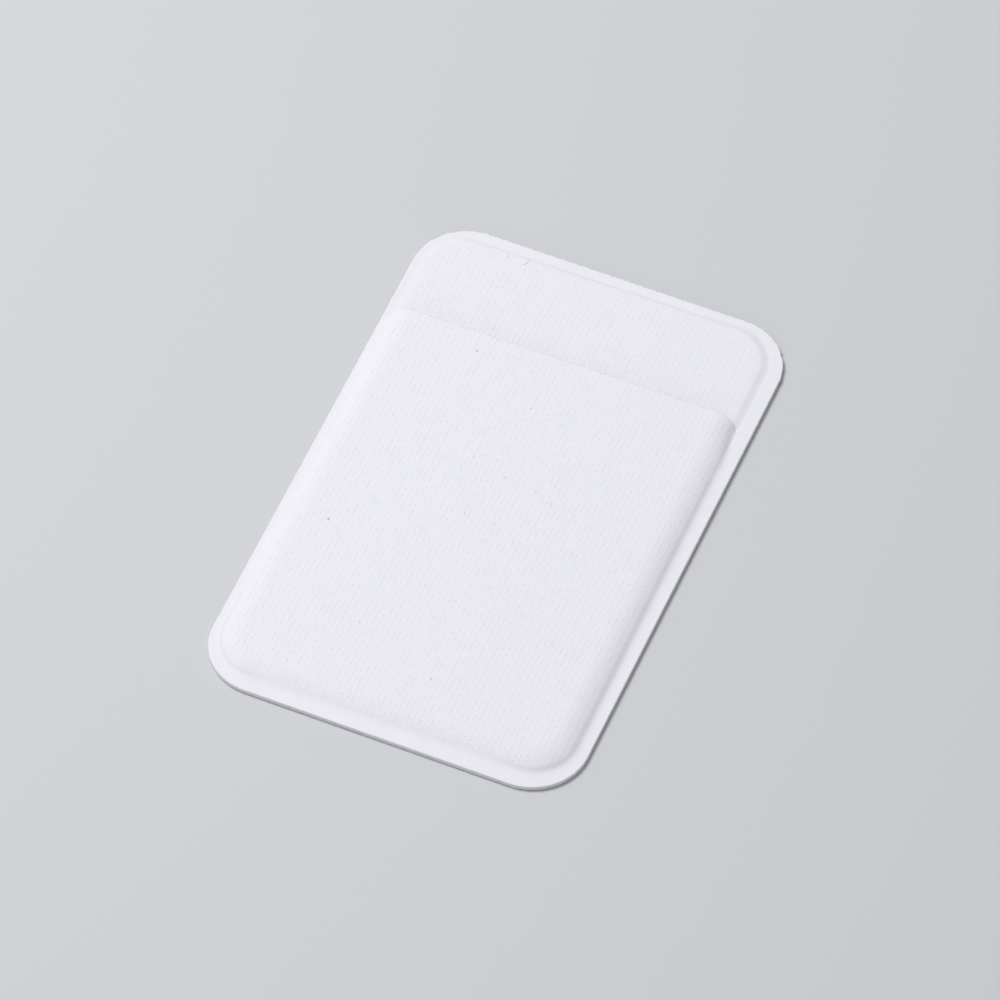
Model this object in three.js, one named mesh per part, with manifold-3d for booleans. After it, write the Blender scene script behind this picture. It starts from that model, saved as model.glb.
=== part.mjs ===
// A stick-on pocket holder of white knit, lying flat with its adhesive face down and its mouth towards +Y.
// A moulded front panel is bonded along three sides to a back panel, and an adhesive pad lies under both.
// Millimetres, +Z up. The origin is the centre of the outline, on the adhesive face.
import * as THREE from 'three';
import { mergeVertices } from 'three/addons/utils/BufferGeometryUtils.js';
import Module from 'manifold-3d';

const wasm = await Module();
wasm.setup();

// The pressed line round the pocket: a groove in the back panel, and the steepest line of the front's slope
const POCKET_WIDTH = 58.4;
const POCKET_LENGTH = 90.9;
const POCKET_CORNER_RADIUS = 7;
const POCKET_TURN_DEGREES = 0.35;
const GROOVE_DEPTH = 0.12;
const GROOVE_START_SHARE = 0.4;

// The flange: the flat rim between the pressed line and the cut edge, unevenly wide because of the press
const FLANGE_LEFT = 1.35;
const FLANGE_RIGHT = 2.65;
const FLANGE_BOTTOM = 3;
const FLANGE_TOP = 1.9;
const CUT_CORNER_RADIUS = 9.2;
const CUT_EDGE_ROUND = 0.15;

// The mouth: how far its edge lies below the pocket's upper end, and how its ends dip into the groove
const MOUTH_DEPTH = 17.6;
const MOUTH_END_ROUND = 2.4;
const MOUTH_END_DIP = 1.4;

// Thicknesses, from the adhesive face up
const PAD_THICKNESS = 0.2;
const BACK_PRESSED_THICKNESS = 0.34;
const BACK_FIELD_THICKNESS = 0.95;
const BACK_COVERED_THICKNESS = 0.75;
const FILM_THICKNESS = 0.08;
const POCKET_GAP = 0.98;
const FRONT_PRESSED_THICKNESS = 0.34;
const FRONT_THICKNESS = 0.5;
const CROWN = 0.07;

// The slope from the pressed line up to the flat field of each panel, and the front's foot on the flange
const FRONT_SLOPE_WIDTH = 4;
const BACK_SLOPE_WIDTH = 2.4;
const SLOPE_POWER = 2.4;
const FOOT_SHARE = 0.85;
const FOOT_POWER = 2.6;
const SLOPE_WALL = 0.2;

// Clearances
const PAD_INSET = 0.6;
const FILM_INSET = 0.15;
const SEAM_GAP = 0.2;
const TOOL_MARGIN = 1;

// How finely the curves are cut
const CORNER_STEPS = 10;
const SIDE_STEPS = 4;
const SLOPE_STEPS = 7;
const FLANGE_STEPS = 5;
const CROWN_STEPS = 3;
const LEAST_BEND = 0.5;
const SAME_POINT = 1e-5;

// Sizes that follow from those above
const HOLDER_WIDTH = FLANGE_LEFT + POCKET_WIDTH + FLANGE_RIGHT;
const HOLDER_LENGTH = FLANGE_BOTTOM + POCKET_LENGTH + FLANGE_TOP;
const POCKET_CENTRE = new THREE.Vector2((FLANGE_LEFT - FLANGE_RIGHT) / 2, (FLANGE_BOTTOM - FLANGE_TOP) / 2);
const POCKET_TURN = THREE.MathUtils.degToRad(POCKET_TURN_DEGREES);
const BACK_BOTTOM = PAD_THICKNESS;
const SEAM_BOTTOM = BACK_BOTTOM + BACK_PRESSED_THICKNESS;
const SEAM_TOP = SEAM_BOTTOM + FILM_THICKNESS;
const FLANGE_SURFACE = SEAM_TOP + FRONT_PRESSED_THICKNESS;
const GROOVE_BOTTOM = FLANGE_SURFACE - GROOVE_DEPTH;
const BACK_FIELD = BACK_BOTTOM + BACK_FIELD_THICKNESS;
const BACK_COVERED = BACK_BOTTOM + BACK_COVERED_THICKNESS;
const FRONT_UNDERSIDE = BACK_COVERED + POCKET_GAP;
const FRONT_FIELD = FRONT_UNDERSIDE + FRONT_THICKNESS;
const ABOVE_ALL = FRONT_FIELD + CROWN + TOOL_MARGIN;
const BELOW_ALL = -TOOL_MARGIN;

// A closed loop round a rectangle with round corners, anticlockwise, with as many points at any size.
function roundedLoop(width, length, radius) {
  const bend = Math.max(radius, LEAST_BEND);
  const corners = [
    [width / 2 - bend, length / 2 - bend, 0],
    [bend - width / 2, length / 2 - bend, Math.PI / 2],
    [bend - width / 2, bend - length / 2, Math.PI],
    [width / 2 - bend, bend - length / 2, 1.5 * Math.PI],
  ];
  const loop = [];
  corners.forEach(([x, y, start], index) => {
    const arc = [];
    for (let step = 0; step <= CORNER_STEPS; step += 1) {
      const angle = start + (step / CORNER_STEPS) * (Math.PI / 2);
      arc.push(new THREE.Vector2(x + bend * Math.cos(angle), y + bend * Math.sin(angle)));
    }
    loop.push(...arc);
    const [nextX, nextY, nextStart] = corners[(index + 1) % corners.length];
    const next = new THREE.Vector2(nextX + bend * Math.cos(nextStart), nextY + bend * Math.sin(nextStart));
    const last = arc[arc.length - 1];
    for (let step = 1; step < SIDE_STEPS; step += 1) {
      loop.push(last.clone().lerp(next, step / SIDE_STEPS));
    }
  });
  return loop;
}

// The cut edge of the panels, moved in by some distance.
function cutLoop(inset = 0) {
  return roundedLoop(HOLDER_WIDTH - 2 * inset, HOLDER_LENGTH - 2 * inset, CUT_CORNER_RADIUS - inset);
}

// Puts a point of the pocket's own frame into the holder's frame.
function placePocketPoint(point) {
  return point.clone().rotateAround(new THREE.Vector2(), POCKET_TURN).add(POCKET_CENTRE);
}

// The pressed line, moved in by some distance.
function pressedLoop(inset = 0) {
  const radius = POCKET_CORNER_RADIUS - inset;
  return roundedLoop(POCKET_WIDTH - 2 * inset, POCKET_LENGTH - 2 * inset, radius).map(placePocketPoint);
}

function ring(loop, height) {
  return loop.map((point) => new THREE.Vector3(point.x, point.y, height));
}

function middle(points) {
  const sum = points.reduce((total, point) => total.add(point), new THREE.Vector3());
  return sum.divideScalar(points.length);
}

// A closed surface through rings of equal count, from the underside's middle, round the edge, to the top's.
function loft(rings, topCentreHeight) {
  const count = rings[0].length;
  const positions = [];
  const addPoint = (point) => positions.push(point.x, point.y, point.z);
  addPoint(middle(rings[0]));
  rings.forEach((points) => points.forEach(addPoint));
  const topCentre = middle(rings[rings.length - 1]);
  topCentre.z = topCentreHeight;
  addPoint(topCentre);

  const index = [];
  const at = (row, column) => 1 + row * count + (column % count);
  const lastRow = rings.length - 1;
  const topIndex = 1 + rings.length * count;
  for (let column = 0; column < count; column += 1) {
    index.push(0, at(0, column + 1), at(0, column));
    index.push(topIndex, at(lastRow, column), at(lastRow, column + 1));
    for (let row = 0; row < lastRow; row += 1) {
      index.push(at(row, column), at(row, column + 1), at(row + 1, column + 1));
      index.push(at(row, column), at(row + 1, column + 1), at(row + 1, column));
    }
  }
  const geometry = new THREE.BufferGeometry();
  geometry.setAttribute('position', new THREE.Float32BufferAttribute(positions, 3));
  geometry.setIndex(index);
  return geometry;
}

// A closed mesh as a solid that can be cut and joined.
function toSolid(geometry) {
  const bare = geometry.clone();
  bare.deleteAttribute('normal');
  bare.deleteAttribute('uv');
  const merged = mergeVertices(bare, SAME_POINT);
  return new wasm.Manifold(new wasm.Mesh({
    numProp: 3,
    vertProperties: new Float32Array(merged.attributes.position.array),
    triVerts: new Uint32Array(merged.index.array),
  }));
}

function toGeometry(solid) {
  const mesh = solid.getMesh();
  const geometry = new THREE.BufferGeometry();
  geometry.setAttribute('position', new THREE.Float32BufferAttribute(mesh.vertProperties, 3));
  geometry.setIndex(new THREE.Uint32BufferAttribute(mesh.triVerts, 1));
  geometry.computeVertexNormals();
  return geometry;
}

// The share of its height that a slope has reached: steepest at its foot and level at its top.
function rise(distance, width) {
  return 1 - THREE.MathUtils.clamp(1 - distance / width, 0, 1) ** SLOPE_POWER;
}

// The share of its height that the front's slope has reached. Its foot starts outside the pressed line.
function swell(distance, foot) {
  const below = foot / FOOT_POWER;
  const above = FRONT_SLOPE_WIDTH / SLOPE_POWER;
  const footShare = Math.max(0, 1 + Math.min(distance, 0) / foot) ** FOOT_POWER;
  const slopeShare = rise(Math.max(distance, 0), FRONT_SLOPE_WIDTH);
  return (below * footShare + above * slopeShare) / (below + above);
}

// The back's rings from the cut edge in to the pressed line, level at first and then down into the groove.
function flangeRings() {
  const outer = cutLoop(CUT_EDGE_ROUND);
  const inner = pressedLoop();
  const rings = [ring(cutLoop(), FLANGE_SURFACE - CUT_EDGE_ROUND)];
  for (let step = 0; step <= FLANGE_STEPS; step += 1) {
    const share = step / FLANGE_STEPS;
    const fall = THREE.MathUtils.smoothstep(share, GROOVE_START_SHARE, 1);
    const loop = outer.map((point, index) => point.clone().lerp(inner[index], share));
    rings.push(ring(loop, FLANGE_SURFACE - GROOVE_DEPTH * fall));
  }
  return rings;
}

// Rings up a slope inside the pressed line. With no wall, the flange's last ring is the slope's foot.
function slopeRings(foot, top, width, wall = 0) {
  const rings = [];
  for (let step = wall > 0 ? 0 : 1; step <= SLOPE_STEPS; step += 1) {
    const distance = (step / SLOPE_STEPS) * width;
    rings.push(ring(pressedLoop(wall + distance), foot + (top - foot) * rise(distance, width)));
  }
  return rings;
}

// The front's rings over its flange and slope. The foot is as wide as the flange leaves room for.
function frontRings() {
  const outer = cutLoop(CUT_EDGE_ROUND);
  const line = pressedLoop();
  const feet = outer.map((point, index) => FOOT_SHARE * point.distanceTo(line[index]));
  const climb = FRONT_FIELD - FLANGE_SURFACE;
  const raised = (point, index, distance) => {
    const height = FLANGE_SURFACE + climb * swell(distance, feet[index]);
    return new THREE.Vector3(point.x, point.y, height);
  };
  const rings = [ring(cutLoop(), FLANGE_SURFACE - CUT_EDGE_ROUND)];
  for (let step = 0; step <= FLANGE_STEPS; step += 1) {
    const loop = outer.map((point, index) => point.clone().lerp(line[index], step / FLANGE_STEPS));
    rings.push(loop.map((point, index) => raised(point, index, -point.distanceTo(line[index]))));
  }
  for (let step = 1; step <= SLOPE_STEPS; step += 1) {
    const distance = (step / SLOPE_STEPS) * FRONT_SLOPE_WIDTH;
    rings.push(pressedLoop(distance).map((point, index) => raised(point, index, distance)));
  }
  return rings;
}

// Rings over the flat field, which rises a little towards its middle.
function crownRings() {
  const halfWidth = POCKET_WIDTH / 2 - FRONT_SLOPE_WIDTH;
  const rings = [];
  for (let step = 1; step <= CROWN_STEPS; step += 1) {
    const share = step / (CROWN_STEPS + 1);
    const height = FRONT_FIELD + CROWN * Math.sin(share * (Math.PI / 2));
    rings.push(ring(pressedLoop(FRONT_SLOPE_WIDTH + share * halfWidth), height));
  }
  return rings;
}

// The plan of everything on the mouth's upper side, with the mouth's edge moved up by some distance.
function mouthSolid(shift = 0) {
  const far = HOLDER_LENGTH + HOLDER_WIDTH;
  const edge = POCKET_LENGTH / 2 - MOUTH_DEPTH + shift;
  const low = edge - MOUTH_END_DIP;
  const side = POCKET_WIDTH / 2;
  const outline = [new THREE.Vector2(far, far), new THREE.Vector2(-far, far), new THREE.Vector2(-far, low)];
  for (const sign of [-1, 1]) {
    const end = [];
    for (let step = 0; step <= CORNER_STEPS; step += 1) {
      const angle = (step / CORNER_STEPS) * (Math.PI / 2);
      const x = side - MOUTH_END_ROUND * (1 - Math.cos(angle));
      end.push(new THREE.Vector2(sign * x, low + MOUTH_END_DIP * Math.sin(angle)));
    }
    outline.push(...(sign < 0 ? end : end.reverse()));
  }
  outline.push(new THREE.Vector2(far, low));
  const shape = new THREE.Shape(outline.map(placePocketPoint));
  const block = new THREE.ExtrudeGeometry(shape, { depth: ABOVE_ALL - BELOW_ALL, bevelEnabled: false });
  block.translate(0, 0, BELOW_ALL);
  return toSolid(block);
}

// The front panel: its flange lies on the bond film, and its field stands clear of the back panel.
function frontPocket() {
  const underside = slopeRings(SEAM_TOP, FRONT_UNDERSIDE, FRONT_SLOPE_WIDTH, SLOPE_WALL).reverse();
  const rings = [
    ...underside,
    ring(cutLoop(), SEAM_TOP),
    ...frontRings(),
    ...crownRings(),
  ];
  const whole = toSolid(loft(rings, FRONT_FIELD + CROWN));
  return toGeometry(whole.subtract(mouthSolid()));
}

// The back panel: above the mouth it is level with the front panel's flange. Below the mouth it is pressed
// thinner, so that the two flanges lie flush.
function backPanel() {
  const rings = [
    ring(cutLoop(), BACK_BOTTOM),
    ...flangeRings(),
    ...slopeRings(GROOVE_BOTTOM, BACK_FIELD, BACK_SLOPE_WIDTH),
  ];
  const whole = toSolid(loft(rings, BACK_FIELD));
  const room = [
    ...slopeRings(SEAM_BOTTOM, BACK_COVERED, BACK_SLOPE_WIDTH, SLOPE_WALL).reverse(),
    ring(cutLoop(-TOOL_MARGIN), SEAM_BOTTOM),
    ring(cutLoop(-TOOL_MARGIN), ABOVE_ALL),
  ];
  const roomForFront = toSolid(loft(room, ABOVE_ALL)).subtract(mouthSolid(SEAM_GAP));
  return toGeometry(whole.subtract(roomForFront));
}

// The bond film: a U of hot-melt film between the two flanges, open at the mouth.
function bondFilm() {
  const outer = loft([ring(cutLoop(FILM_INSET), SEAM_BOTTOM), ring(cutLoop(FILM_INSET), SEAM_TOP)], SEAM_TOP);
  const inside = pressedLoop(-FILM_INSET);
  const hole = loft([ring(inside, BELOW_ALL), ring(inside, ABOVE_ALL)], ABOVE_ALL);
  const whole = toSolid(outer).subtract(toSolid(hole));
  return toGeometry(whole.subtract(mouthSolid(-FILM_INSET)));
}

// The adhesive pad: a flat sheet under the back panel, a little smaller than it.
function adhesivePad() {
  const outline = cutLoop(PAD_INSET);
  const geometry = loft([ring(outline, 0), ring(outline, PAD_THICKNESS)], PAD_THICKNESS);
  geometry.computeVertexNormals();
  return geometry;
}

function piece(name, geometry, colour, roughness) {
  const material = new THREE.MeshStandardMaterial({ color: colour, roughness, metalness: 0 });
  const mesh = new THREE.Mesh(geometry, material);
  mesh.name = name;
  return mesh;
}

const group = new THREE.Group();
group.add(piece('adhesive_pad', adhesivePad(), '#d8d8d4', 0.55));
group.add(piece('back_panel', backPanel(), '#ecedf4', 0.92));
group.add(piece('bond_film', bondFilm(), '#f2f0ea', 0.4));
group.add(piece('front_pocket', frontPocket(), '#ecedf4', 0.92));

export default group;
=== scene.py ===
"""A stick-on pocket holder of white knit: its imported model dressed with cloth, fibres and a studio."""
import math

import bpy
import numpy as np
from mathutils import Matrix, Vector


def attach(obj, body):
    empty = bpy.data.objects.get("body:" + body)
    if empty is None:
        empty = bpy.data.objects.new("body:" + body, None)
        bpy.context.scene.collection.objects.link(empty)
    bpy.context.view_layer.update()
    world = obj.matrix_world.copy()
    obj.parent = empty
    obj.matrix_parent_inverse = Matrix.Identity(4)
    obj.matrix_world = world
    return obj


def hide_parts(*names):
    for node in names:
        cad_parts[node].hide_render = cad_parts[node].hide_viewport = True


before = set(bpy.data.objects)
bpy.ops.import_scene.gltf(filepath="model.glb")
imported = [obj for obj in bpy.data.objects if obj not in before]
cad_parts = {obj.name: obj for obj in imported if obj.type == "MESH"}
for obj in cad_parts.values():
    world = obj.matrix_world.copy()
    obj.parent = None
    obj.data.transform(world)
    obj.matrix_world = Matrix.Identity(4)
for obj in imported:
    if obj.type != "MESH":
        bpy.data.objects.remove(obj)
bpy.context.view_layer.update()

MM = 0.001
SEED = 7
rng = np.random.default_rng(SEED)

# The camera, in metres, looking down on the holder from its front right
CAMERA_PLACE = (0.3181, -0.7535, 1.1208)
CAMERA_RIGHT = (0.9201, 0.3916, 0.0023)
CAMERA_DOWN = (0.3174, -0.7423, -0.5900)
CAMERA_LENS = 321.7
SENSOR = 36.0

# The pressed line round the pocket, in millimetres
POCKET_WIDTH = 58.4
POCKET_LENGTH = 90.9
POCKET_RADIUS = 7.0
POCKET_TURN = math.radians(0.35)
GROOVE_DEPTH = 0.12
GROOVE_WIDTH = 0.42
# The width of the band of painted shade along the pressed line
PAINTED_CREASE_WIDTH = 0.32

# How the groove changes round the pocket, with zones of x or y from the start of a change to its end
GROOVE_RIGHT_X = (20, 28)
GROOVE_PLAIN_X = (-24, -28)
GROOVE_PLAIN_Y = (20, 30)
GROOVE_LEAST = 0.8
GROOVE_DEEPER_RIGHT = 0.4
GROOVE_WIDER_RIGHT = 1.1
GROOVE_PLAIN_SHARE = 0.85

# How the painted shade in the groove changes in the same way, and how strong it is in each zone
CREASE_RIGHT_X = (14, 27)
CREASE_LEFT_X = (-20, -28)
CREASE_TOP_X = (-28, -22)
CREASE_TOP_Y = (40, 45)
CREASE_CORNER_X = (-14, -26)
CREASE_CORNER_Y = (-20, -38)
CREASE_MOUTH_BLEND = 2
CREASE_LEFT = 0.25
CREASE_TOP = 0.5
CREASE_CORNER = 0.5
CREASE_LEAST = 0.12
CREASE_NARROW = 0.7
CREASE_WIDER_RIGHT = 0.5
CREASE_OUT_RIGHT = 0.2

# How far inside the pressed line the press has closed the knit's holes
PRESSED_MARGIN = 0.5
PRESSED_WIDER = 1.5
PRESSED_FADE = 1
PRESSED_LEFT_X = (-10, -25)
PRESSED_MOUTH_BLEND = 0.5

# The flange between the pressed line and the cut edge
FLANGE_LEFT = 1.35
FLANGE_RIGHT = 2.65
FLANGE_BOTTOM = 3.0
FLANGE_TOP = 1.9
CUT_RADIUS = 9.2
EDGE_ROUND = 0.14

# The mouth
MOUTH_DEPTH = 17.6
MOUTH_END_ROUND = 2.4
MOUTH_END_DIP = 1.4
MOUTH_BLEND = 7.0

# Thicknesses, from the adhesive face up
PAD_THICKNESS = 0.2
BACK_PRESSED_THICKNESS = 0.34
BACK_FIELD_THICKNESS = 0.95
BACK_COVERED_THICKNESS = 0.75
FILM_THICKNESS = 0.08
POCKET_GAP = 0.98
FRONT_PRESSED_THICKNESS = 0.34
FRONT_THICKNESS = 0.5
CROWN = 0.07

# The slopes from the pressed line up to each panel's field, and the front's foot on the flange
FRONT_SLOPE_WIDTH = 4.0
BACK_SLOPE_WIDTH = 2.4
SLOPE_POWER = 2.4
FOOT_SHARE = 0.85
FOOT_POWER = 3.4
LEAST_FOOT = 0.3
SLOPE_WALL = 0.2

# The knit's wales and courses, how far they wander, and its holes as shares of their spacing
WALE = 0.463
COURSE = 0.645
SLOW_WANDER = 0.24
QUICK_WANDER = 0.16
HOLE_ACROSS = 0.14
HOLE_ALONG = 0.25
HOLE_LEAST = 0.25
HOLE_RANGE = 1.5
HOLE_CLOSED = 0.8

# The scale of each noise in the knit, for places in metres
SLOW_WANDER_SCALE = 90.0
QUICK_WANDER_SCALE = 800.0
HOLE_DEPTH_SCALE = 1300.0
HOLE_DEPTH_STEP = (0.33, 0.72)
MOTTLE_SCALE = 420.0
FUZZ_SCALE = 4200.0
FUZZ_STRETCH = (1.0, 0.6, 1.0)

# How much each feature of the knit lifts the cloth, as shares of its relief in metres
RIDGE_LIFT = 0.32
HOLE_LIFT = -0.5
FUZZ_LIFT = 0.8
KNIT_RELIEF = 0.000022

# How much each feature of the knit darkens it, from the light colour towards the dark one, and how much
# painted shade darkens it along the pressed line
HOLE_SHADE = 0.40
RIDGE_GAP_SHADE = 0.06
FUZZ_SHADE = 0.5
MOTTLE_SHADE = 0.3
PAINTED_CREASE_SHADE = 0.6
KNIT_LIGHT = (0.826, 0.825, 0.885)
KNIT_DARK_AND_SHADE = (0.64, 0.64, 0.74)

# The other materials' light and dark colours
FIBRE_COLOURS = ((0.86, 0.86, 0.91), (0.80, 0.80, 0.87))
FILM_COLOURS = ((0.80, 0.79, 0.75), (0.72, 0.71, 0.66))
ADHESIVE_COLOURS = ((0.70, 0.70, 0.66), (0.61, 0.61, 0.57))
FLOOR_COLOURS = ((0.60, 0.61, 0.63), (0.62, 0.63, 0.65))
LINT_DARKER = 0.6

# Where the cut edge is frayed: zones by distance in from the top and the left, and of y on the left
FRAY_TOP = (14, 3)
FRAY_LEFT = (8, 2)
FRAY_LEFT_Y = (-30, 20)
FRAY_LEFT_SHARE = 0.5
FRAY_LEAST = 0.15

# Scallops along the cut edges
SCALLOP = 0.075
SCALLOP_REACH = 0.8
SCALLOP_LENGTHS_X = (0.75, 1.1, 1.9)
SCALLOP_LENGTHS_Y = (1.3, 1.9, 3.1)
MOUTH_SCALLOP = 0.045
MOUTH_SCALLOP_LENGTHS = (0.62, 0.93, 1.4)
SCALLOP_SEED_X = 23
SCALLOP_SEED_Y = 29
MOUTH_SCALLOP_SEED = 31

# The back panel's step up to its open part, by distance down from the mouth's edge
STEP_HIDDEN = 0.22
STEP_SHOWN = 0.01

# Points of the panels: columns in the last part to the edge as shares of it, then rows up the front
EDGE_COLUMNS = (0.3, 0.6, 0.85, 1.0)
LOW_EDGE_ROWS = (0, 0.04, 0.09, 0.16, 0.3, 0.5)
SLOPE_ROWS = (0.8, 14, 0.3)
FIELD_ROW = 0.55
FIELD_ROWS_STOP = 2.5
MOUTH_EDGE_ROWS = (2.2, 1.7, 1.3, 0.9, 0.6, 0.4, 0.25, 0.14, 0.08, 0.03, 0)

# Rows up the back: a count where it is covered, then shares of its open part down from the top
COVERED_ROWS = 92
OPEN_ROWS = 56
OPEN_ROWS_END = 0.85
TOP_SLOPE_ROWS = (0.14, 0.03, -0.0055)
TOP_EDGE_ROWS = (0.022, 0.012, 0.006, 0.0025, 0)

# Fibres at the cut edge, in millimetres and radians, with ranges as pairs
EDGE_FIBRES = 1700
EDGE_FIBRES_LEAST = 0.25
EDGE_FIBRE_ROOT = 0.1
EDGE_FIBRE_LENGTHS = (0.1, 0.25)
EDGE_FIBRE_MORE = 0.5
EDGE_FIBRE_SPREAD = 0.9
EDGE_FIBRE_CURL = 1.6
EDGE_FIBRE_LIFTS = (-0.3, 0.5)
EDGE_FIBRE_RADII = (0.012, 0.022)
EDGE_FIBRE_ABOVE_BACK = 0.1
EDGE_FIBRE_BELOW_TOP = 0.06
EDGE_FIBRE_PAST_TOP = 0.1
LEAST_FIBRE_HEIGHT = 0.1

# Fibres at the mouth, with their depth below the panel's top
MOUTH_FIBRES = 500
MOUTH_FIBRES_X = (-28.6, 27.4)
MOUTH_FIBRE_ROOT = 0.07
MOUTH_FIBRE_DEPTHS = (0.03, 0.45)
MOUTH_FIBRE_LENGTHS = (0.08, 0.2)
MOUTH_FIBRE_SPREAD = 0.8
MOUTH_FIBRE_CURL = 1.3
MOUTH_FIBRE_LIFT = 0.1
MOUTH_FIBRE_LIFT_SPREAD = 0.4
MOUTH_FIBRE_RADII = (0.014, 0.026)

# Cut loops of the knit, one on each wale of the mouth's edge
LOOPS_X = (-28.2, 27.2)
LOOP_ROOT = 0.04
LOOP_DEPTHS = (0.02, 0.14)
LOOP_LENGTHS = (0.2, 0.42)
LOOP_BENDS = (2.2, 3.4)
LOOP_RADII = (0.03, 0.05)

# A few longer loose ends at the cut edge: x, y, direction, length and curl of each
LOOSE_END_HEIGHT = 0.75
LOOSE_END_LIFT = 0.25
LOOSE_END_RADIUS = 0.035
LOOSE_ENDS = [
    (-21.4, 47.7, 125, 0.75, -150),
    (-13.0, 47.7, 105, 1.0, -150),
    (16.1, 47.7, 85, 0.5, 20),
    (30.7, 41.3, 25, 0.5, 70),
    (-31.1, 37.2, 165, 0.8, 80),
    (-28.0, 45.8, 140, 0.45, 60),
]

# Lint on the cloth: x, y, length, width, direction and curl of each, then the kind's colour
LINT_LIFT = 0.3
LINT = [
    ("dark_lint", [
        (-14.3, 24.8, 0.34, 0.10, 70, 20),
        (-2.1, 17.7, 0.24, 0.07, 30, 30),
        (-0.6, 3.8, 0.22, 0.06, 80, 10),
        (-3.6, -5.0, 0.28, 0.08, 140, 40),
        (-10.4, -30.2, 0.24, 0.07, 120, 20),
        (13.5, 12.3, 0.20, 0.06, 10, 10),
        (17.6, 17.9, 0.20, 0.06, 100, 30),
        (-3.0, 6.3, 0.18, 0.06, 60, 10),
        (5.4, -5.1, 0.14, 0.05, 20, 10),
    ], (0.16, 0.16, 0.20)),
    ("grey_lint", [
        (4.0, -35.7, 0.34, 0.12, 60, 30),
        (1.3, -5.0, 0.22, 0.08, 100, 20),
        (5.1, 3.3, 0.95, 0.05, 10, 200),
        (7.1, 5.3, 0.40, 0.06, 150, 60),
        (-17.3, 44.8, 0.90, 0.06, 300, 90),
        (-14.4, 45.0, 1.40, 0.06, 80, 50),
    ], (0.46, 0.46, 0.52)),
    ("blue_lint", [
        (-22.6, -14.2, 0.36, 0.13, 65, 20),
        (-6.6, 5.5, 0.30, 0.06, 110, 40),
    ], (0.03, 0.09, 0.28)),
    ("red_lint", [
        (7.9, 1.9, 0.28, 0.06, 40, 60),
    ], (0.45, 0.16, 0.14)),
]

# The studio
SKY_COLOUR = (0.985, 0.985, 1.0)
SKY_LEVEL = 0.398
KEY_PLACE = (-0.38, 0.06, 0.80)
KEY_SIZE = 0.45
KEY_POWER = 5.44
FILL_PLACE = (0.25, -1.2, 0.45)
FILL_SIZE = 0.6
FILL_POWER = 1.37
FLOOR_HALF = 4.0

# Sizes that follow from those above
HALF_WIDTH = (FLANGE_LEFT + POCKET_WIDTH + FLANGE_RIGHT) / 2
HALF_LENGTH = (FLANGE_BOTTOM + POCKET_LENGTH + FLANGE_TOP) / 2
POCKET_X = (FLANGE_LEFT - FLANGE_RIGHT) / 2
POCKET_Y = (FLANGE_BOTTOM - FLANGE_TOP) / 2
MOUTH_EDGE = POCKET_LENGTH / 2 - MOUTH_DEPTH
BACK_BOTTOM = PAD_THICKNESS
SEAM_BOTTOM = BACK_BOTTOM + BACK_PRESSED_THICKNESS
SEAM_TOP = SEAM_BOTTOM + FILM_THICKNESS
FLANGE_SURFACE = SEAM_TOP + FRONT_PRESSED_THICKNESS
BACK_FIELD = BACK_BOTTOM + BACK_FIELD_THICKNESS
BACK_COVERED = BACK_BOTTOM + BACK_COVERED_THICKNESS
FRONT_UNDERSIDE = BACK_COVERED + POCKET_GAP
FRONT_FIELD = FRONT_UNDERSIDE + FRONT_THICKNESS


def smooth(value, low, high):
    share = np.clip((value - low) / (high - low), 0, 1)
    return share * share * (3 - 2 * share)


def inside(x, y, half_width, half_length, radius):
    """How far a point lies inside a rectangle with round corners. It is negative outside."""
    across = np.abs(x) - (half_width - radius)
    along = np.abs(y) - (half_length - radius)
    corner = np.hypot(np.maximum(across, 0), np.maximum(along, 0))
    return radius - corner - np.minimum(np.maximum(across, along), 0)


def from_cut(x, y):
    return inside(x, y, HALF_WIDTH, HALF_LENGTH, CUT_RADIUS)


def from_press(x, y):
    """How far a point lies inside the pressed line, which is turned a little from the holder."""
    c, s = math.cos(POCKET_TURN), math.sin(POCKET_TURN)
    across = c * (x - POCKET_X) + s * (y - POCKET_Y)
    along = c * (y - POCKET_Y) - s * (x - POCKET_X)
    return inside(across, along, POCKET_WIDTH / 2, POCKET_LENGTH / 2, POCKET_RADIUS)


def mouth_line(x):
    """The mouth edge's y for each x, with its ends dipping into the groove."""
    c, s = math.cos(POCKET_TURN), math.sin(POCKET_TURN)
    across = (x - POCKET_X) / c
    end = np.clip(1 - (POCKET_WIDTH / 2 - np.abs(across)) / MOUTH_END_ROUND, 0, 1)
    along = MOUTH_EDGE - MOUTH_END_DIP * (1 - np.sqrt(1 - end ** 2))
    return POCKET_Y + s * across + c * along


def rise(distance, width):
    """The share of its height that a slope has reached: steepest at its foot and level at its top."""
    return 1 - np.clip(1 - distance / width, 0, 1) ** SLOPE_POWER


def swell(distance, foot):
    """The share of its height that the front's slope has reached. Its foot is outside the pressed line."""
    below = foot / FOOT_POWER
    above = FRONT_SLOPE_WIDTH / SLOPE_POWER
    foot_share = np.clip(1 + np.minimum(distance, 0) / foot, 0, 1) ** FOOT_POWER
    return (below * foot_share + above * rise(distance, FRONT_SLOPE_WIDTH)) / (below + above)


def rounding(distance):
    """How far a cut edge is rounded down, by the distance in from it."""
    edge = np.clip(1 - distance / EDGE_ROUND, 0, 1)
    return EDGE_ROUND * (1 - np.sqrt(1 - edge ** 2))


def groove(x, y):
    """How deep the pressed line cuts: most on the right, and hardly at all down the upper left side."""
    right = smooth(x, *GROOVE_RIGHT_X)
    plain = smooth(x, *GROOVE_PLAIN_X) * smooth(y, *GROOVE_PLAIN_Y)
    depth = GROOVE_DEPTH * (GROOVE_LEAST + GROOVE_DEEPER_RIGHT * right) * (1 - GROOVE_PLAIN_SHARE * plain)
    return depth * smooth(np.abs(from_press(x, y)) / (1 + GROOVE_WIDER_RIGHT * right), GROOVE_WIDTH, 0)


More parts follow.
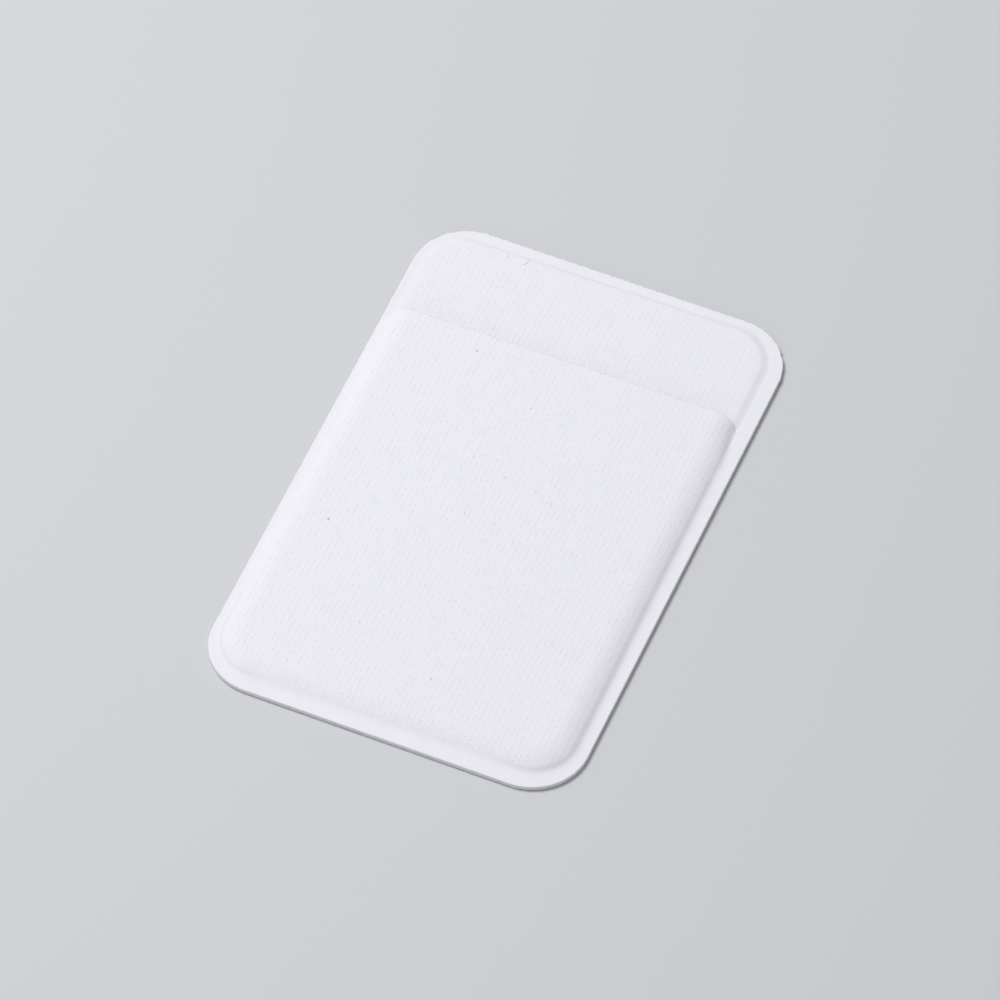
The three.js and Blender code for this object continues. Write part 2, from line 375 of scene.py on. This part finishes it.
def painted_crease_shade(x, y):
    """How much painted shade darkens the cloth along the pressed line: most on the right, away from the key
    light, then at the top and lower left.
    """
    right = smooth(x, *CREASE_RIGHT_X)
    corner = CREASE_CORNER * smooth(x, *CREASE_CORNER_X) * smooth(y, *CREASE_CORNER_Y)
    below_mouth = smooth(mouth_line(x) - y, -CREASE_MOUTH_BLEND, CREASE_MOUTH_BLEND)
    left = CREASE_LEFT * smooth(x, *CREASE_LEFT_X) * below_mouth
    top = CREASE_TOP * smooth(y, *CREASE_TOP_Y) * smooth(x, *CREASE_TOP_X)
    strength = np.maximum.reduce([right, corner, left, top, np.full_like(x, CREASE_LEAST)])
    width = PAINTED_CREASE_WIDTH * (CREASE_NARROW + CREASE_WIDER_RIGHT * right)
    return strength * np.exp(-((from_press(x, y) + CREASE_OUT_RIGHT * right) / width) ** 2)


def pressed(x, y):
    """How far the press has closed the knit's holes, on the flange and a margin inside the pressed line."""
    above_mouth = smooth(y, mouth_line(x) - PRESSED_MOUTH_BLEND, mouth_line(x))
    margin = PRESSED_MARGIN + PRESSED_WIDER * np.maximum(smooth(x, *PRESSED_LEFT_X), above_mouth)
    return smooth(from_press(x, y), margin, margin - PRESSED_FADE)


def front_top(x, y):
    """The front panel's top. Its foot shrinks and its groove appears towards the mouth's two ends."""
    distance = from_press(x, y)
    below_mouth = smooth(mouth_line(x) - y, 0, MOUTH_BLEND)
    foot = np.maximum(FOOT_SHARE * (from_cut(x, y) - distance) * below_mouth, LEAST_FOOT)
    start = FLANGE_SURFACE - (1 - below_mouth) * groove(x, y)
    climb = FRONT_FIELD - FLANGE_SURFACE
    crown = CROWN * smooth(distance, FRONT_SLOPE_WIDTH, POCKET_WIDTH / 2)
    height = start + climb * swell(distance, foot) + crown
    return height - rounding(from_cut(x, y)) - rounding(mouth_line(x) - y)


def front_underside(x, y):
    distance = from_press(x, y) - SLOPE_WALL
    return SEAM_TOP + (FRONT_UNDERSIDE - SEAM_TOP) * rise(distance, FRONT_SLOPE_WIDTH)


def back_open(x, y):
    """The back panel's top where nothing covers it."""
    distance = from_press(x, y)
    climb = BACK_FIELD - FLANGE_SURFACE
    height = FLANGE_SURFACE + climb * rise(distance, BACK_SLOPE_WIDTH)
    return height - groove(x, y) - rounding(from_cut(x, y))


def back_covered(x, y):
    distance = from_press(x, y) - SLOPE_WALL
    return SEAM_BOTTOM + (BACK_COVERED - SEAM_BOTTOM) * rise(distance, BACK_SLOPE_WIDTH)


def wave(place, lengths, seed):
    """A smooth, irregular wave along an edge, made of a few plain waves."""
    phases = np.random.default_rng(seed).uniform(0, 2 * math.pi, len(lengths))
    waves = [np.sin(2 * math.pi * place / length + phase) for length, phase in zip(lengths, phases)]
    return sum(waves) / math.sqrt(len(lengths))


def frayed(x, y):
    """How much the cut edge is frayed: most at the top, some on the left and little elsewhere."""
    top = smooth(y, HALF_LENGTH - FRAY_TOP[0], HALF_LENGTH - FRAY_TOP[1])
    near_left = smooth(-x, HALF_WIDTH - FRAY_LEFT[0], HALF_WIDTH - FRAY_LEFT[1])
    left = FRAY_LEFT_SHARE * near_left * smooth(y, *FRAY_LEFT_Y)
    return np.maximum(np.maximum(top, left), FRAY_LEAST)


def edge_shift(x, y):
    """How far points near the cut edge move in and out along its normal, so that it is scalloped."""
    reach = np.clip(1 - from_cut(x, y) / SCALLOP_REACH, 0, 1) ** 2
    step = 0.01
    out_x = (from_cut(x - step, y) - from_cut(x + step, y)) / (2 * step)
    out_y = (from_cut(x, y - step) - from_cut(x, y + step)) / (2 * step)
    waves_x = np.abs(out_y) * wave(x, SCALLOP_LENGTHS_X, SCALLOP_SEED_X)
    waves_y = np.abs(out_x) * wave(y, SCALLOP_LENGTHS_Y, SCALLOP_SEED_Y)
    push = SCALLOP * frayed(x, y) * reach * (waves_x + waves_y)
    return push * out_x, push * out_y


def mouth_shift(x, y):
    """How far points near the mouth's edge move up and down."""
    reach = np.clip(1 - (mouth_line(x) - y) / SCALLOP_REACH, 0, 1) ** 2
    on_field = smooth(from_press(x, y), 0, 1)
    return MOUTH_SCALLOP * reach * on_field * wave(x, MOUTH_SCALLOP_LENGTHS, MOUTH_SCALLOP_SEED)


def side_end(x):
    """How far up the cut outline reaches at each x, from the middle."""
    over = np.clip(np.abs(x) - (HALF_WIDTH - CUT_RADIUS), 0, CUT_RADIUS)
    return HALF_LENGTH - CUT_RADIUS + np.sqrt(CUT_RADIUS ** 2 - over ** 2)


def columns_across():
    """The x of each column of points: two for each wale, and a few more up to the cut edge."""
    step = WALE / 2
    half = int((HALF_WIDTH - EDGE_ROUND) / step)
    inner = np.arange(-half, half + 1) * step
    rest = HALF_WIDTH - half * step
    extra = half * step + rest * np.array(EDGE_COLUMNS)
    return np.concatenate([-extra[::-1], inner, extra])


def add_mesh(name, points, faces, material):
    mesh = bpy.data.meshes.new(name)
    mesh.from_pydata((np.asarray(points) * MM).tolist(), [], faces)
    mesh.validate()
    mesh.shade_smooth()
    piece = bpy.data.objects.new(name, mesh)
    bpy.context.scene.collection.objects.link(piece)
    mesh.materials.append(material)
    return piece


def stitch(faces, fine, coarse):
    """Joins a finely divided edge to one that has a point for every second point of it."""
    for k in range(len(coarse) - 1):
        first, mid, last = fine[2 * k:2 * k + 3]
        faces.append((first, mid, coarse[k]))
        faces.append((mid, last, coarse[k + 1]))
        faces.append((mid, coarse[k + 1], coarse[k]))


def panel(name, xs, y, top, underside, shift, material):
    """A closed cloth panel over columns of points, with a fine top and a coarse underside."""
    columns, count = y.shape
    x = np.repeat(xs[:, None], count, 1)
    move_x, move_y = shift(x, y)
    upper = np.stack([x + move_x, y + move_y, top(x, y)], -1)
    lower = upper[::2, ::2].copy()
    lower[..., 2] = underside(x[::2, ::2], y[::2, ::2])
    at = np.arange(columns * count).reshape(columns, count)
    below = columns * count + np.arange(lower[..., 2].size).reshape(lower.shape[:2])
    faces = []
    for a in range(columns - 1):
        for b in range(count - 1):
            faces.append((at[a, b], at[a + 1, b], at[a + 1, b + 1], at[a, b + 1]))
    for a in range(below.shape[0] - 1):
        for b in range(below.shape[1] - 1):
            faces.append((below[a, b], below[a, b + 1], below[a + 1, b + 1], below[a + 1, b]))
    stitch(faces, at[::-1, 0], below[::-1, 0])
    stitch(faces, at[-1, ::-1], below[-1, ::-1])
    stitch(faces, at[:, -1], below[:, -1])
    stitch(faces, at[0, :], below[0, :])
    faces = [tuple(int(corner) for corner in face) for face in faces]
    piece = add_mesh(name, np.concatenate([upper.reshape(-1, 3), lower.reshape(-1, 3)]), faces, material)
    # The first attribute carries painted shade along the pressed line; the second tells where the press
    # closed the knit's holes
    for attribute, surface in (("painted_crease_shade", painted_crease_shade(x, y)), ("pressed", pressed(x, y))):
        values = np.zeros(len(piece.data.vertices))
        values[:x.size] = surface.ravel()
        piece.data.attributes.new(attribute, "FLOAT", "POINT").data.foreach_set("value", values)
    return piece


def odd(values):
    """The same values with an odd count, so that every second one includes both ends."""
    middle = len(values) // 2
    return values if len(values) % 2 else np.delete(values, middle)


def front_panel(material):
    xs = columns_across()
    low, high = -side_end(xs), mouth_line(xs)
    length = MOUTH_EDGE + POCKET_Y + HALF_LENGTH
    near_low = np.concatenate([LOW_EDGE_ROWS, np.arange(*SLOPE_ROWS)])
    middle = np.arange(SLOPE_ROWS[1], length - FIELD_ROWS_STOP, FIELD_ROW)
    near_high = length - np.array(MOUTH_EDGE_ROWS)
    shares = odd(np.concatenate([near_low, middle, near_high])) / length
    y = low[:, None] + (high - low)[:, None] * shares[None, :]

    def shift(x, y):
        move_x, move_y = edge_shift(x, y)
        return move_x, move_y + mouth_shift(x, y)

    return panel("front_knit_panel", xs, y, front_top, front_underside, shift, material)


def back_panel(material):
    """Thinner where the front covers it, with the step up to its open part under the mouth's edge."""
    xs = columns_across()
    low, high = -side_end(xs), side_end(xs)
    step_low = mouth_line(xs) - STEP_HIDDEN
    step_high = mouth_line(xs) - STEP_SHOWN
    covered_shares = np.linspace(0, 1, COVERED_ROWS)
    near_high = 1 - np.concatenate([np.arange(*TOP_SLOPE_ROWS), TOP_EDGE_ROWS])
    open_shares = odd(np.concatenate([np.linspace(0, OPEN_ROWS_END, OPEN_ROWS), near_high]))
    covered = low[:, None] + (step_low - low)[:, None] * covered_shares[None, :]
    shown = step_high[:, None] + (high - step_high)[:, None] * open_shares[None, :]
    y = np.concatenate([covered, shown], 1)

    def top(x, y):
        is_open = y > mouth_line(x) - (STEP_HIDDEN + STEP_SHOWN) / 2
        return np.where(is_open, back_open(x, y), back_covered(x, y))

    def underside(x, y):
        return np.full_like(x, BACK_BOTTOM)

    return panel("back_knit_panel", xs, y, top, underside, edge_shift, material)


class Nodes:
    """A short way to write a material's node tree."""

    def __init__(self, name):
        self.material = bpy.data.materials.new(name)
        self.material.use_nodes = True
        self.tree = self.material.node_tree
        self.shader = self.tree.nodes["Principled BSDF"]

    def link(self, source, target):
        self.tree.links.new(source, target)

    def put(self, socket, value):
        if isinstance(value, bpy.types.NodeSocket):
            self.link(value, socket)
        else:
            socket.default_value = value

    def math(self, operation, a, b=0.0, c=0.0):
        node = self.tree.nodes.new("ShaderNodeMath")
        node.operation = operation
        for socket, value in zip(node.inputs, (a, b, c)):
            self.put(socket, value)
        return node.outputs[0]

    def place(self):
        """The point's x, y and z in millimetres, and its place in metres."""
        texture = self.tree.nodes.new("ShaderNodeTexCoord")
        split = self.tree.nodes.new("ShaderNodeSeparateXYZ")
        self.link(texture.outputs["Object"], split.inputs[0])
        return [self.math("DIVIDE", split.outputs[k], MM) for k in range(3)], texture.outputs["Object"]

    def attribute(self, name):
        node = self.tree.nodes.new("ShaderNodeAttribute")
        node.attribute_name = name
        return node.outputs["Fac"]

    def noise(self, vector, scale, detail=2.0, stretch=None):
        if stretch is not None:
            mapping = self.tree.nodes.new("ShaderNodeMapping")
            mapping.inputs["Scale"].default_value = stretch
            self.link(vector, mapping.inputs["Vector"])
            vector = mapping.outputs[0]
        node = self.tree.nodes.new("ShaderNodeTexNoise")
        self.link(vector, node.inputs["Vector"])
        node.inputs["Scale"].default_value = scale
        node.inputs["Detail"].default_value = detail
        return node.outputs[0]

    def between(self, value, low, high):
        """A smooth step from 0 at low to 1 at high."""
        node = self.tree.nodes.new("ShaderNodeMapRange")
        node.interpolation_type = "SMOOTHSTEP"
        node.inputs["From Min"].default_value = low
        node.inputs["From Max"].default_value = high
        self.link(value, node.inputs["Value"])
        return node.outputs[0]

    def ramp(self, factor, low, high):
        """A colour between two, by a factor from 0 to 1."""
        node = self.tree.nodes.new("ShaderNodeMix")
        node.data_type = "RGBA"
        self.link(factor, node.inputs["Factor"])
        node.inputs["A"].default_value = (*low, 1)
        node.inputs["B"].default_value = (*high, 1)
        return node.outputs["Result"]

    def bump(self, height, distance, strength=1.0):
        node = self.tree.nodes.new("ShaderNodeBump")
        node.inputs["Strength"].default_value = strength
        node.inputs["Distance"].default_value = distance
        self.link(height, node.inputs["Height"])
        self.link(node.outputs[0], self.shader.inputs["Normal"])


def knit_holes(nodes, place, across, along):
    """Soft oval holes in staggered columns, of uneven depth, and nearly closed where the press was."""
    column = nodes.math("ROUND", across)
    stagger = nodes.math("MULTIPLY", nodes.math("PINGPONG", column, 1.0), 0.5)
    staggered = nodes.math("ADD", along, stagger)
    row = nodes.math("ROUND", staggered)
    aside = nodes.math("DIVIDE", nodes.math("SUBTRACT", across, column), HOLE_ACROSS)
    ahead = nodes.math("DIVIDE", nodes.math("SUBTRACT", staggered, row), HOLE_ALONG)
    squared = nodes.math("ADD", nodes.math("MULTIPLY", aside, aside), nodes.math("MULTIPLY", ahead, ahead))
    hole = nodes.math("POWER", math.e, nodes.math("MULTIPLY", squared, -1.0))
    depth = nodes.between(nodes.noise(place, HOLE_DEPTH_SCALE, 1.0), *HOLE_DEPTH_STEP)
    hole = nodes.math("MULTIPLY", hole, nodes.math("MULTIPLY_ADD", depth, HOLE_RANGE, HOLE_LEAST))
    loose = nodes.math("MULTIPLY_ADD", nodes.attribute("pressed"), -HOLE_CLOSED, 1.0)
    return nodes.math("MULTIPLY", hole, loose)


def knit_material():
    """White polyester knit: ridged wales, small irregular holes in staggered columns, and soft fuzz, with
    painted shade along the pressed line.
    """
    nodes = Nodes("white_knit")
    (x, y, _), place = nodes.place()
    slow = nodes.noise(place, SLOW_WANDER_SCALE, 1.0)
    quick = nodes.noise(place, QUICK_WANDER_SCALE, 1.0)
    wander = nodes.math("MULTIPLY_ADD", slow, SLOW_WANDER, -SLOW_WANDER / 2)
    wander = nodes.math("MULTIPLY_ADD", quick, QUICK_WANDER, wander)
    across = nodes.math("DIVIDE", nodes.math("ADD", x, wander), 2 * WALE)
    along = nodes.math("DIVIDE", nodes.math("ADD", y, wander), COURSE)
    hole = knit_holes(nodes, place, across, along)
    ridge = nodes.math("SINE", nodes.math("MULTIPLY", across, 2 * math.pi))
    ridge = nodes.math("MULTIPLY", ridge, ridge)
    fuzz = nodes.noise(place, FUZZ_SCALE, 2.0, FUZZ_STRETCH)
    mottle = nodes.noise(place, MOTTLE_SCALE, 3.0)

    height = nodes.math("MULTIPLY_ADD", ridge, RIDGE_LIFT, nodes.math("MULTIPLY", hole, HOLE_LIFT))
    height = nodes.math("MULTIPLY_ADD", fuzz, FUZZ_LIFT, height)
    nodes.bump(height, KNIT_RELIEF)

    shade = nodes.math("MULTIPLY", hole, HOLE_SHADE)
    shade = nodes.math("MULTIPLY_ADD", nodes.math("SUBTRACT", 1.0, ridge), RIDGE_GAP_SHADE, shade)
    shade = nodes.math("MULTIPLY_ADD", nodes.math("SUBTRACT", fuzz, 0.5), FUZZ_SHADE, shade)
    shade = nodes.math("MULTIPLY_ADD", nodes.math("SUBTRACT", mottle, 0.5), MOTTLE_SHADE, shade)
    # Painted shade along the pressed line, strongest down the right side away from the key light
    shade = nodes.math("MULTIPLY_ADD", nodes.attribute("painted_crease_shade"), PAINTED_CREASE_SHADE, shade)
    nodes.link(nodes.ramp(shade, KNIT_LIGHT, KNIT_DARK_AND_SHADE), nodes.shader.inputs["Base Color"])
    nodes.shader.inputs["Roughness"].default_value = 0.92
    nodes.shader.inputs["Specular IOR Level"].default_value = 0.2
    nodes.shader.inputs["Sheen Weight"].default_value = 0.08
    nodes.shader.inputs["Sheen Roughness"].default_value = 0.6
    return nodes.material


def fibre_material():
    nodes = Nodes("loose_fibre")
    _, place = nodes.place()
    colour = nodes.ramp(nodes.noise(place, 700.0), *FIBRE_COLOURS)
    nodes.link(colour, nodes.shader.inputs["Base Color"])
    nodes.shader.inputs["Roughness"].default_value = 0.7
    return nodes.material


def film_material():
    nodes = Nodes("milky_film")
    _, place = nodes.place()
    colour = nodes.ramp(nodes.noise(place, 500.0), *FILM_COLOURS)
    nodes.link(colour, nodes.shader.inputs["Base Color"])
    nodes.shader.inputs["Roughness"].default_value = 0.45
    nodes.bump(nodes.noise(place, 1500.0), 0.00003)
    return nodes.material


def adhesive_material():
    nodes = Nodes("adhesive_sheet")
    _, place = nodes.place()
    colour = nodes.ramp(nodes.noise(place, 120.0, 4.0), *ADHESIVE_COLOURS)
    nodes.link(colour, nodes.shader.inputs["Base Color"])
    nodes.shader.inputs["Roughness"].default_value = 0.38
    nodes.shader.inputs["Coat Weight"].default_value = 0.25
    nodes.bump(nodes.noise(place, 800.0, 3.0), 0.00004)
    return nodes.material


def lint_material(name, colour):
    nodes = Nodes(name)
    _, place = nodes.place()
    darker = tuple(LINT_DARKER * channel for channel in colour)
    nodes.link(nodes.ramp(nodes.noise(place, 4000.0), colour, darker), nodes.shader.inputs["Base Color"])
    nodes.shader.inputs["Roughness"].default_value = 0.8
    return nodes.material


def tube(points, faces, path, radius, sides=3):
    """Adds a thin closed tube along a path, tapered to its tip."""
    taper = 0.6
    nearly_up = (0.31, 0.17, 0.93)
    start = len(points)
    path = np.asarray(path)
    for k, centre in enumerate(path):
        ahead = path[min(k + 1, len(path) - 1)] - path[max(k - 1, 0)]
        ahead = ahead / max(np.linalg.norm(ahead), 1e-9)
        side = np.cross(ahead, nearly_up)
        side = side / max(np.linalg.norm(side), 1e-9)
        up = np.cross(side, ahead)
        size = radius * (1 - taper * k / (len(path) - 1))
        for turn in range(sides):
            angle = 2 * math.pi * turn / sides
            points.append(centre + size * (math.cos(angle) * side + math.sin(angle) * up))
    for k in range(len(path) - 1):
        for turn in range(sides):
            a = start + k * sides + turn
            b = start + k * sides + (turn + 1) % sides
            faces.append((a, b, b + sides, a + sides))
    faces.append(tuple(start + turn for turn in reversed(range(sides))))
    faces.append(tuple(start + (len(path) - 1) * sides + turn for turn in range(sides)))


def curl_path(root, direction, length, curl, height, lift, steps=6):
    """A path that starts at a root and turns evenly by the curl, both in radians, as it goes."""
    path = [(*root, height)]
    x, y = root
    for step in range(steps):
        angle = direction + curl * (step + 0.5) / steps
        x += length / steps * math.cos(angle)
        y += length / steps * math.sin(angle)
        path.append((x, y, max(height + lift * length * (step + 1) / steps, LEAST_FIBRE_HEIGHT)))
    return path


def outline_point(share):
    """A point on the cut edge and its outward angle, for a share of its length from the lower right."""
    straight_y = 2 * (HALF_LENGTH - CUT_RADIUS)
    straight_x = 2 * (HALF_WIDTH - CUT_RADIUS)
    arc = CUT_RADIUS * math.pi / 2
    lengths = [straight_y, arc, straight_x, arc] * 2
    left = (share % 1) * sum(lengths)
    part = 0
    while left > lengths[part]:
        left -= lengths[part]
        part += 1
    angle = (part // 2) * math.pi / 2
    run = left - lengths[part] / 2
    if part % 2:
        angle += left / CUT_RADIUS
        run = 0
    centre = np.array([math.copysign(HALF_WIDTH - CUT_RADIUS, math.cos(angle)),
                       math.copysign(HALF_LENGTH - CUT_RADIUS, math.sin(angle))])
    if part % 2 == 0:
        centre[1 - (part // 2) % 2] = 0
    out = np.array([math.cos(angle), math.sin(angle)])
    return centre + CUT_RADIUS * out + run * np.array([-out[1], out[0]]), angle


def edge_fibres(material):
    """Loose fibres that stand out of the cut edge."""
    points, faces = [], []
    for _ in range(EDGE_FIBRES):
        place, out = outline_point(rng.random())
        size = float(frayed(*place))
        if rng.random() > EDGE_FIBRES_LEAST + (1 - EDGE_FIBRES_LEAST) * size:
            continue
        move = np.array(edge_shift(*place))
        root = place + move - EDGE_FIBRE_ROOT * np.array([math.cos(out), math.sin(out)])
        length = rng.uniform(*EDGE_FIBRE_LENGTHS) + EDGE_FIBRE_MORE * size * rng.random() ** 3
        height = rng.uniform(BACK_BOTTOM + EDGE_FIBRE_ABOVE_BACK, FLANGE_SURFACE - EDGE_FIBRE_BELOW_TOP)
        highest = FLANGE_SURFACE + EDGE_FIBRE_PAST_TOP
        lift = min(rng.uniform(*EDGE_FIBRE_LIFTS), (highest - height) / length)
        direction = out + rng.normal(0, EDGE_FIBRE_SPREAD)
        curl = rng.normal(0, EDGE_FIBRE_CURL)
        path = curl_path(root, direction, length, curl, height, lift, steps=4)
        tube(points, faces, path, rng.uniform(*EDGE_FIBRE_RADII))
    for x, y, degrees, length, curl_degrees in LOOSE_ENDS:
        direction = math.radians(degrees)
        curl = math.radians(curl_degrees)
        path = curl_path((x, y), direction, length, curl, LOOSE_END_HEIGHT, LOOSE_END_LIFT, steps=8)
        tube(points, faces, path, LOOSE_END_RADIUS, sides=5)
    return add_mesh("edge_fibres", points, faces, material)


def mouth_edge(x):
    """The y of the mouth's scalloped edge at an x, and the height of the panel's top there."""
    line = float(mouth_line(x))
    return line + float(mouth_shift(x, line)), float(front_top(x, line - EDGE_ROUND))


def mouth_fibres(material):
    """Short fibres and cut loops along the free edge of the mouth."""
    points, faces = [], []
    for _ in range(MOUTH_FIBRES):
        x = rng.uniform(*MOUTH_FIBRES_X)
        y, top = mouth_edge(x)
        height = top - rng.uniform(*MOUTH_FIBRE_DEPTHS)
        length = rng.uniform(*MOUTH_FIBRE_LENGTHS)
        direction = rng.normal(math.pi / 2, MOUTH_FIBRE_SPREAD)
        curl = rng.normal(0, MOUTH_FIBRE_CURL)
        lift = rng.normal(MOUTH_FIBRE_LIFT, MOUTH_FIBRE_LIFT_SPREAD)
        path = curl_path((x, y - MOUTH_FIBRE_ROOT), direction, length, curl, height, lift, steps=3)
        tube(points, faces, path, rng.uniform(*MOUTH_FIBRE_RADII))
    for x in np.arange(*LOOPS_X, WALE):
        y, top = mouth_edge(x)
        height = top - rng.uniform(*LOOP_DEPTHS)
        bend = rng.choice([-1, 1]) * rng.uniform(*LOOP_BENDS)
        length = rng.uniform(*LOOP_LENGTHS)
        direction = math.pi / 2 - bend / 2
        path = curl_path((x, y - LOOP_ROOT), direction, length, bend, height, lift=0.0)
        tube(points, faces, path, rng.uniform(*LOOP_RADII), sides=5)
    return add_mesh("mouth_fibres", points, faces, material)


def lint(name, places, material):
    """Specks and hairs that lie on the cloth."""
    points, faces = [], []
    for x, y, length, width, degrees, curl_degrees in places:
        angle = math.radians(degrees)
        root = (x - length / 2 * math.cos(angle), y - length / 2 * math.sin(angle))
        direction = math.radians(degrees - curl_degrees / 2)
        path = []
        curl = math.radians(curl_degrees)
        for px, py, _ in curl_path(root, direction, length, curl, height=0.0, lift=0.0, steps=7):
            surface = front_top if py < mouth_line(px) else back_open
            path.append((px, py, float(surface(px, py)) + LINT_LIFT * width))
        tube(points, faces, path, width / 2, sides=6)
    return add_mesh(name, points, faces, material)


def camera():
    data = bpy.data.cameras.new("camera")
    data.sensor_width = SENSOR
    data.lens = CAMERA_LENS
    data.clip_start = 0.05
    data.clip_end = 50
    piece = bpy.data.objects.new("camera", data)
    right = np.array(CAMERA_RIGHT) / np.linalg.norm(CAMERA_RIGHT)
    up = -np.array(CAMERA_DOWN)
    up = up - right * (up @ right)
    up /= np.linalg.norm(up)
    rotation = Matrix(np.stack([right, up, np.cross(right, up)], 1).tolist())
    piece.matrix_world = Matrix.Translation(CAMERA_PLACE) @ rotation.to_4x4()
    bpy.context.scene.collection.objects.link(piece)
    bpy.context.scene.camera = piece


def area_light(name, place, size, power, colour):
    """A soft round lamp that points at the holder."""
    data = bpy.data.lights.new(name, "AREA")
    data.shape = "DISK"
    data.size = size
    data.energy = power
    data.color = colour
    lamp = bpy.data.objects.new(name, data)
    lamp.location = place
    lamp.rotation_mode = "QUATERNION"
    lamp.rotation_quaternion = (-Vector(place)).to_track_quat("-Z", "Y")
    bpy.context.scene.collection.objects.link(lamp)


def studio():
    world = bpy.data.worlds.new("studio")
    bpy.context.scene.world = world
    world.use_nodes = True
    background = world.node_tree.nodes["Background"]
    background.inputs["Color"].default_value = (*SKY_COLOUR, 1)
    light_path = world.node_tree.nodes.new("ShaderNodeLightPath")
    seen = world.node_tree.nodes.new("ShaderNodeMath")
    seen.operation = "MULTIPLY_ADD"
    seen.inputs[1].default_value = 1 - SKY_LEVEL
    seen.inputs[2].default_value = SKY_LEVEL
    world.node_tree.links.new(light_path.outputs["Is Camera Ray"], seen.inputs[0])
    world.node_tree.links.new(seen.outputs[0], background.inputs["Strength"])
    area_light("key", KEY_PLACE, KEY_SIZE, KEY_POWER, (1.0, 0.995, 0.985))
    area_light("fill", FILL_PLACE, FILL_SIZE, FILL_POWER, (1.0, 0.995, 0.99))

    floor_nodes = Nodes("pale_floor")
    _, place = floor_nodes.place()
    colour = floor_nodes.ramp(floor_nodes.noise(place, 3.0), *FLOOR_COLOURS)
    floor_nodes.link(colour, floor_nodes.shader.inputs["Base Color"])
    floor_nodes.shader.inputs["Roughness"].default_value = 0.8
    mesh = bpy.data.meshes.new("floor")
    turns = [(-1, -1), (1, -1), (1, 1), (-1, 1)]
    mesh.from_pydata([(FLOOR_HALF * x, FLOOR_HALF * y, 0) for x, y in turns], [], [(0, 1, 2, 3)])
    mesh.materials.append(floor_nodes.material)
    floor = bpy.data.objects.new("floor", mesh)
    bpy.context.scene.collection.objects.link(floor)


camera()
knit = knit_material()
fibre = fibre_material()

front = front_panel(knit)
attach(front, "root")
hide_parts("front_pocket")

back = back_panel(knit)
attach(back, "root")
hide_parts("back_panel")

for loose in (edge_fibres(fibre), mouth_fibres(fibre)):
    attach(loose, "root")

for name, places, colour in LINT:
    speck = lint(name, places, lint_material(name, colour))
    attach(speck, "root")

for node, material in (("adhesive_pad", adhesive_material()), ("bond_film", film_material())):
    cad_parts[node].data.materials.clear()
    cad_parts[node].data.materials.append(material)

studio()
bpy.context.scene.view_settings.view_transform = "Standard"
